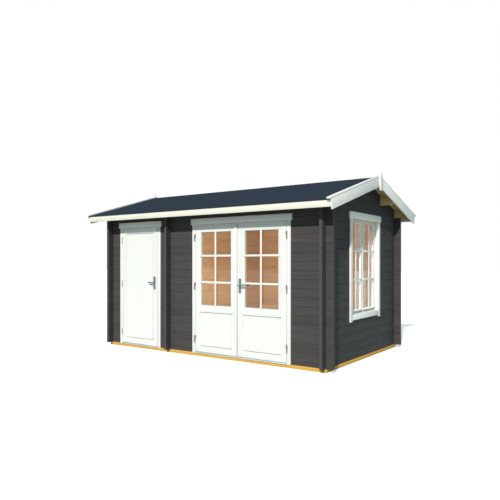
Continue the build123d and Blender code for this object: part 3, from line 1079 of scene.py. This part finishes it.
@dataclass
class WindowJoinery:
    """What the gable window's two sashes carry.

    They carry glazing bars, a strip over the joint where they meet, drip mouldings with a zinc strip
    under them coloured dark as painted shade, and a bare fillet over their heads.
    """

    finishes: Finishes
    clear_half: float = 0.4525
    clear_low: float = 0.642
    clear_high: float = 1.935
    sash_front: float = 1.908
    stile: float = 0.048
    bottom_rail: float = 0.060
    levels: tuple[float, float] = (1.106, 1.504)
    strip: float = 0.025
    drip_low: float = 0.678
    drip_high: float = 0.700
    drip_proud: float = 14 * MM
    drip_fall: float = 12 * MM
    inner_gap: float = 1 * MM
    outer_gap: float = 4 * MM
    seat: float = 0.3 * MM
    bar_width: float = 26 * MM
    bar_lap: float = 16 * MM
    bar_edge: float = 2.0 * MM
    strip_proud: float = 9 * MM
    strip_edge: float = 2.5 * MM
    strip_foot_gap: float = 2 * MM
    strip_head_gap: float = 31 * MM
    # The dark zinc strip of painted shade below each drip moulding
    shade_strip_height: float = 30 * MM
    shade_strip_proud: float = 1.5 * MM
    shade_strip_edge: float = 0.3 * MM
    fillet_height: float = 30 * MM
    fillet_proud: float = 14 * MM
    fillet_gap: float = 1 * MM
    trim_edge: float = 1.5 * MM

    def light(self, side: int) -> tuple[Span, Span]:
        """Find the glazed opening of one sash.

        Args:
            side: -1 for the sash nearer the front of the cabin, and 1 for the other.

        Returns:
            Its sides, and its bottom and top.
        """
        inner = side * (self.stile + self.seat)
        near, far = sorted((inner, side * (self.clear_half - self.stile - self.seat)))
        low = self.clear_low + self.bottom_rail + self.seat
        return (near, far), (low, self.clear_high - self.stile - self.seat)

    def foot(self, side: int) -> list[float]:
        """Find how far the drip moulding and the flashing run along the foot of one sash.

        Args:
            side: -1 for the sash nearer the front of the cabin, and 1 for the other.

        Returns:
            Their two ends.
        """
        inner = side * (self.strip / 2 + self.inner_gap)
        return sorted((inner, side * (self.clear_half - self.outer_gap)))

    def bars(self) -> None:
        """Make the flat bars that lie on the outer face of each sash."""
        mesh = bmesh.new()
        grid = Grid(self.bar_lap, self.bar_width)
        for side in (-1, 1):
            for y, z, upright in grid.bars(self.light(side), self.levels):
                front = self.sash_front + grid.proud - (0.0 if upright else grid.step)
                block(mesh, (self.sash_front, y[0], z[0]), (front, y[1], z[1]))
        round_edges(mesh, self.bar_edge, 2)
        paint = self.finishes.upright_paint
        place_piece("window_glazing_bars", mesh, paint, Body.CABIN)

    def strips(self) -> None:
        """Make the strip that covers the joint between the sashes."""
        mesh = bmesh.new()
        half = self.strip / 2
        near = (self.sash_front, -half, self.clear_low + self.strip_foot_gap)
        high = self.clear_high - self.strip_head_gap
        block(mesh, near, (self.sash_front + self.strip_proud, half, high))
        round_edges(mesh, self.strip_edge, 3)
        paint = self.finishes.upright_paint
        place_piece("sash_cover_strip", mesh, paint, Body.CABIN)

    def drips(self) -> None:
        """Make the sloping drip moulding along the foot of each sash."""
        mesh = bmesh.new()
        for side in (-1, 1):
            near, far = self.foot(side)
            outer = self.sash_front + self.drip_proud
            ends = block(mesh, (self.sash_front, near, self.drip_low), (outer, far, self.drip_high))
            front = [v for v in ends if v.co.x > self.sash_front + self.drip_proud / 2]
            for corner in front:
                if corner.co.z > (self.drip_low + self.drip_high) / 2:
                    corner.co.z -= self.drip_fall
        round_edges(mesh, self.trim_edge, 2)
        paint = self.finishes.gable_brightened_paint
        place_piece("window_drip_mouldings", mesh, paint, Body.CABIN)

    def shade_strip(self) -> None:
        """Make the thin zinc strip on each sash below its drip moulding, coloured dark as painted shade
        where the moulding's shadow falls.
        """
        mesh = bmesh.new()
        for side in (-1, 1):
            near, far = self.foot(side)
            top = self.drip_low - self.seat
            low = (self.sash_front, near, top - self.shade_strip_height)
            block(mesh, low, (self.sash_front + self.shade_strip_proud, far, top))
        round_edges(mesh, self.shade_strip_edge, 1)
        place_piece("window_foot_shade_strip", mesh, self.finishes.shade_strip, Body.CABIN)

    def head_fillet(self) -> None:
        """Make the unpainted fillet that closes the joint over the sashes."""
        mesh = bmesh.new()
        half = self.clear_half - self.fillet_gap
        low = (self.sash_front + 0.2 * MM, -half, self.clear_high - self.fillet_height)
        block(mesh, low, (self.sash_front + self.fillet_proud, half, self.clear_high - self.seat))
        round_edges(mesh, self.trim_edge, 2)
        place_piece("window_head_fillet", mesh, self.finishes.fillet, Body.CABIN)

    def build(self) -> None:
        """Make everything on the window."""
        self.bars()
        self.strips()
        self.drips()
        self.shade_strip()
        self.head_fillet()


@dataclass
class Ironwork:
    """Cylinder locks in the plates, and the screws of the plates."""

    finishes: Finishes
    plate: float = 8 * MM
    screw_radius: float = 3.6 * MM
    screw_proud: float = 1.2 * MM
    screw_depth: float = 1.4 * MM
    screw_heights: Span = (0.938, 1.114)
    cylinder_radius: float = 8.5 * MM
    cylinder_proud: float = 2.5 * MM
    cylinder_depth: float = 2.7 * MM
    cylinder_height: float = 0.973
    tail_half: float = 5 * MM
    tail_heights: Span = (0.950, 0.970)
    sunk: float = 0.2 * MM
    edge: float = 0.5 * MM
    single_plates: float = -0.9455
    double_plates: float = 0.669

    def disc(self, mesh: bmesh.types.BMesh, front: Point, radius: float, depth: float) -> None:
        """Add a flat round head whose axis runs from front to back.

        Args:
            mesh: The mesh it goes in.
            front: The middle of its front face.
            radius: Its radius.
            depth: How far it runs back from its front.
        """
        middle = (front[0], front[1] + depth / 2, front[2])
        place = Matrix.Translation(middle) @ Matrix.Rotation(math.pi / 2, 4, "X")
        bmesh.ops.create_cone(
            mesh,
            cap_ends=True,
            segments=16,
            radius1=radius,
            radius2=radius,
            depth=depth,
            matrix=place,
        )

    def lock(self, name: str, x: float, body: Body) -> None:
        """Make the cylinder and screws of one pair of plates.

        Args:
            name: The piece's name.
            x: Where the plates' middle is.
            body: The leaf that they ride on.
        """
        mesh = bmesh.new()
        face = SIZES.door_face - self.plate
        for z in self.screw_heights:
            self.disc(mesh, (x, face - self.screw_proud, z), self.screw_radius, self.screw_depth)
        front = face - self.cylinder_proud
        middle = (x, front, self.cylinder_height)
        self.disc(mesh, middle, self.cylinder_radius, self.cylinder_depth)
        low, high = self.tail_heights
        far = (x + self.tail_half, face + self.sunk, high)
        block(mesh, (x - self.tail_half, front, low), far)
        round_edges(mesh, self.edge, 2)
        place_piece(name, mesh, self.finishes.steel, body)

    def build(self) -> None:
        """Make all of it."""
        self.lock("single_door_lock", self.single_plates, Body.SINGLE_LEAF)
        self.lock("double_door_lock", self.double_plates, Body.RIGHT_LEAF)


@dataclass
class Studio:
    """Camera, lamps, and the floor that the cabin stands on."""

    eye: Point = (4.9016, -7.0174, 1.3668)
    heading: float = math.radians(35.057)
    lens: float = 38.17
    rise: float = 0.0215
    sun_bearing: float = math.radians(17.5)
    sun_height: float = math.radians(35.2)
    sun: float = 3.55
    sky: float = 0.33
    shine: float = 0.45
    room: float = 19.0
    room_size: Span = (1.9, 1.5)
    room_place: Point = (0.42, -1.05, 1.15)
    fill: float = 0.22
    fill_travel: Point = (-0.9, 0.25, -0.35)
    floor_half: float = 60.0
    floor_glow: float = 0.45
    sensor: float = 36.0
    farthest: float = 500.0

    def camera(self) -> None:
        """Stand the camera where the photo was taken from."""
        data = bpy.data.cameras.new("photo_camera")
        data.lens = self.lens
        data.sensor_width = self.sensor
        data.shift_y = self.rise
        data.clip_end = self.farthest
        camera = bpy.data.objects.new("photo_camera", data)
        camera.location = self.eye
        camera.rotation_euler = (math.pi / 2, 0, self.heading)
        bpy.context.scene.collection.objects.link(camera)
        bpy.context.scene.camera = camera

    def lamp(self, name: str, travel: Vector, strength: float, angle: float, tint: str) -> None:
        """Hang a lamp that shines one way everywhere.

        Args:
            name: The lamp's name.
            travel: The way its light goes.
            strength: Its strength.
            angle: How wide it looks, in degrees, which softens its shadows.
            tint: Its colour.
        """
        data = bpy.data.lights.new(name, "SUN")
        data.energy = strength
        data.angle = math.radians(angle)
        data.color = linear(tint)[:3]
        lamp = bpy.data.objects.new(name, data)
        lamp.rotation_mode = "QUATERNION"
        lamp.rotation_quaternion = travel.to_track_quat("-Z", "Y")
        lamp.location = -10 * travel
        bpy.context.scene.collection.objects.link(lamp)

    def room_lamp(self) -> None:
        """Hang a soft lamp behind the double door, unseen, so that the main room's walls show."""
        data = bpy.data.lights.new("room_lamp", "AREA")
        data.shape = "RECTANGLE"
        data.size, data.size_y = self.room_size
        data.energy = self.room
        data.color = linear("#FFF1DC")[:3]
        lamp = bpy.data.objects.new("room_lamp", data)
        lamp.location = self.room_place
        lamp.rotation_euler = (math.pi / 2, 0, 0)
        lamp.visible_camera = False
        lamp.visible_glossy = False
        lamp.visible_transmission = False
        bpy.context.scene.collection.objects.link(lamp)

    def sky_light(self) -> None:
        """Light the world softly, and show it white to the eye and paler in what shines."""
        world = bpy.data.worlds.new("studio")
        world.use_nodes = True
        tree = world.node_tree
        tree.nodes.clear()
        path = tree.nodes.new("ShaderNodeLightPath")
        light = None
        for name, tint, strength in (
            ("Is Diffuse Ray", "#DCF8FF", self.sky),
            ("Is Glossy Ray", "#F4F8FF", self.shine),
            ("Is Camera Ray", "#FFFFFF", 1.0),
            ("Is Transmission Ray", "#FFFFFF", 1.0),
        ):
            part = tree.nodes.new("ShaderNodeBackground")
            part.inputs["Color"].default_value = linear(tint)
            part.inputs["Strength"].default_value = strength
            if light is not None:
                choice = tree.nodes.new("ShaderNodeMixShader")
                tree.links.new(path.outputs[name], choice.inputs[0])
                tree.links.new(light, choice.inputs[1])
                tree.links.new(part.outputs[0], choice.inputs[2])
                part = choice
            light = part.outputs[0]
        output = tree.nodes.new("ShaderNodeOutputWorld")
        tree.links.new(light, output.inputs["Surface"])
        bpy.context.scene.world = world

    def floor(self) -> None:
        """Lay the pale floor, which looks nearly white and keeps the cabin's shadow."""
        graph = Graph("studio_floor")
        path = graph.add("LightPath").outputs
        seen = path["Is Camera Ray"]
        for ray in ("Is Glossy Ray", "Is Transmission Ray"):
            seen = graph.add("Math", {0: seen, 1: path[ray]}, operation="MAXIMUM").outputs[0]
        grey = graph.add("BsdfDiffuse", {"Color": linear("#A3B3B5")}).outputs[0]
        white = graph.add("BsdfDiffuse", {"Color": linear("#F2F2F2")}).outputs[0]
        glow = graph.add("Emission", {"Strength": self.floor_glow}).outputs[0]
        lifted = graph.add("AddShader", {0: white, 1: glow}).outputs[0]
        surface = graph.add("MixShader", {0: seen, 1: grey, 2: lifted}).outputs[0]
        graph.add("OutputMaterial", {"Surface": surface})
        mesh = bmesh.new()
        bmesh.ops.create_grid(mesh, x_segments=1, y_segments=1, size=self.floor_half)
        data = bpy.data.meshes.new("studio_floor")
        mesh.to_mesh(data)
        mesh.free()
        data.materials.append(graph.material)
        floor = bpy.data.objects.new("studio_floor", data)
        bpy.context.scene.collection.objects.link(floor)

    def build(self) -> None:
        """Set up the studio."""
        bpy.context.scene.view_settings.view_transform = "Standard"
        level = math.cos(self.sun_height)
        across = -math.sin(self.sun_bearing) * level
        inwards = math.cos(self.sun_bearing) * level
        travel = Vector((across, inwards, -math.sin(self.sun_height)))
        self.lamp("key", travel, self.sun, 2.0, "#FFFBF4")
        fill_travel = Vector(self.fill_travel).normalized()
        self.lamp("side_fill", fill_travel, self.fill, 60.0, "#F4F8FF")
        self.room_lamp()
        self.sky_light()
        self.floor()
        self.camera()


@dataclass
class Cabin:
    """The whole cabin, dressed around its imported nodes."""

    nodes: dict[str, bpy.types.Object]
    finishes: Finishes = field(default_factory=Finishes)

    def walls(self, work: NodeWork) -> None:
        """Stain the logs.

        Args:
            work: The tools that dress the nodes.
        """
        made = self.finishes
        front = ("front_wall_left", "front_wall_middle", "front_wall_right")
        work.dress(made.long_logs, Slot.LOGS, *front, "rear_wall")
        work.dress(made.top_logs, Slot.LOGS, "front_top_logs", "rear_top_logs")
        work.dress(
            made.cross_logs_shaded,
            Slot.LOGS,
            "left_gable_wall",
            "partition_wall",
            "right_wall_lower",
            "right_wall_front_part",
            "right_wall_rear_part",
            "right_gable",
        )

    def roof(self, work: NodeWork) -> None:
        """Dress the roof and its edges.

        Args:
            work: The tools that dress the nodes.
        """
        made = self.finishes
        RoofDeck(made).build()
        work.dress(made.felt, Slot.ROOF, "roof_covering")
        for node in ("ridge_purlin", "side_purlins"):
            work.eased(node, made.purlin, Body.CABIN, 2 * MM)
        work.eased("fascias", made.cream_paint, Body.CABIN, 2 * MM)
        for node in ("bargeboards", "cap_strips", "finials"):
            work.eased(node, made.gable_brightened_paint, Body.CABIN, 1.6 * MM)

    def joinery(self, work: NodeWork) -> None:
        """Dress the doors' and window's woodwork and panes.

        Args:
            work: The tools that dress the nodes.
        """
        made = self.finishes
        fixed = ("single_door_frame", "double_door_frame", "door_trims", "window_frame", "window_sashes")
        for node in fixed:
            work.eased(node, made.upright_paint, Body.CABIN, 1.4 * MM)
        work.eased("window_trims", made.gable_brightened_paint, Body.CABIN, 1.4 * MM)
        leaves = (
            ("single_door_leaf", Body.SINGLE_LEAF),
            ("left_door_leaf", Body.LEFT_LEAF),
            ("right_door_leaf", Body.RIGHT_LEAF),
            ("meeting_strip", Body.LEFT_LEAF),
        )
        for node, body in leaves:
            work.eased(node, made.upright_paint, body, 1.4 * MM)
        work.dress(made.glass, Slot.GLASS, "left_door_glass", "right_door_glass", "window_glass")
        DoorLeaf(made, "left", Body.LEFT_LEAF, (-0.1255, 0.620)).build()
        DoorLeaf(made, "right", Body.RIGHT_LEAF, (0.628, 1.4005)).build()
        PanelBoards(made, Body.SINGLE_LEAF, (-1.5655, -0.9855), (0.161, 1.782)).build("single_leaf")
        WindowJoinery(made).build()

    def ironwork(self, work: NodeWork) -> None:
        """Dress the metal.

        Args:
            work: The tools that dress the nodes.
        """
        made = self.finishes
        work.dress(made.hinges, Slot.STEEL, "frame_hinge_pins", "single_leaf_hinges")
        work.dress(made.hinges, Slot.STEEL, "left_leaf_hinges", "right_leaf_hinges")
        work.eased("door_thresholds", made.bright_zinc, Body.CABIN, 2 * MM)
        work.eased("single_lock_plates", made.steel, Body.SINGLE_LEAF, 1.5 * MM, 3)
        work.eased("double_lock_plates", made.steel, Body.RIGHT_LEAF, 1.5 * MM, 3)
        work.eased("single_door_lever", made.steel, Body.SINGLE_LEVER, 3.5 * MM, 4)
        work.eased("double_door_lever", made.steel, Body.DOUBLE_LEVER, 3.5 * MM, 4)
        Ironwork(made).build()

    def ground(self, work: NodeWork) -> None:
        """Dress the beams and lay the floor.

        Args:
            work: The tools that dress the nodes.
        """
        work.eased("foundation_beams", self.finishes.beams, Body.CABIN, 2 * MM)
        PlankFloor(self.finishes).build()

    def build(self) -> None:
        """Dress everything."""
        work = NodeWork(self.nodes)
        self.ground(work)
        self.walls(work)
        self.roof(work)
        self.joinery(work)
        self.ironwork(work)


def main() -> None:
    """Load the frame, dress the cabin and set up the studio."""
    logging.basicConfig(level=logging.INFO, format="%(name)s: %(message)s")
    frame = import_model()
    Cabin(frame["nodes"]).build()
    Studio().build()


if __name__ == "__main__":
    main()
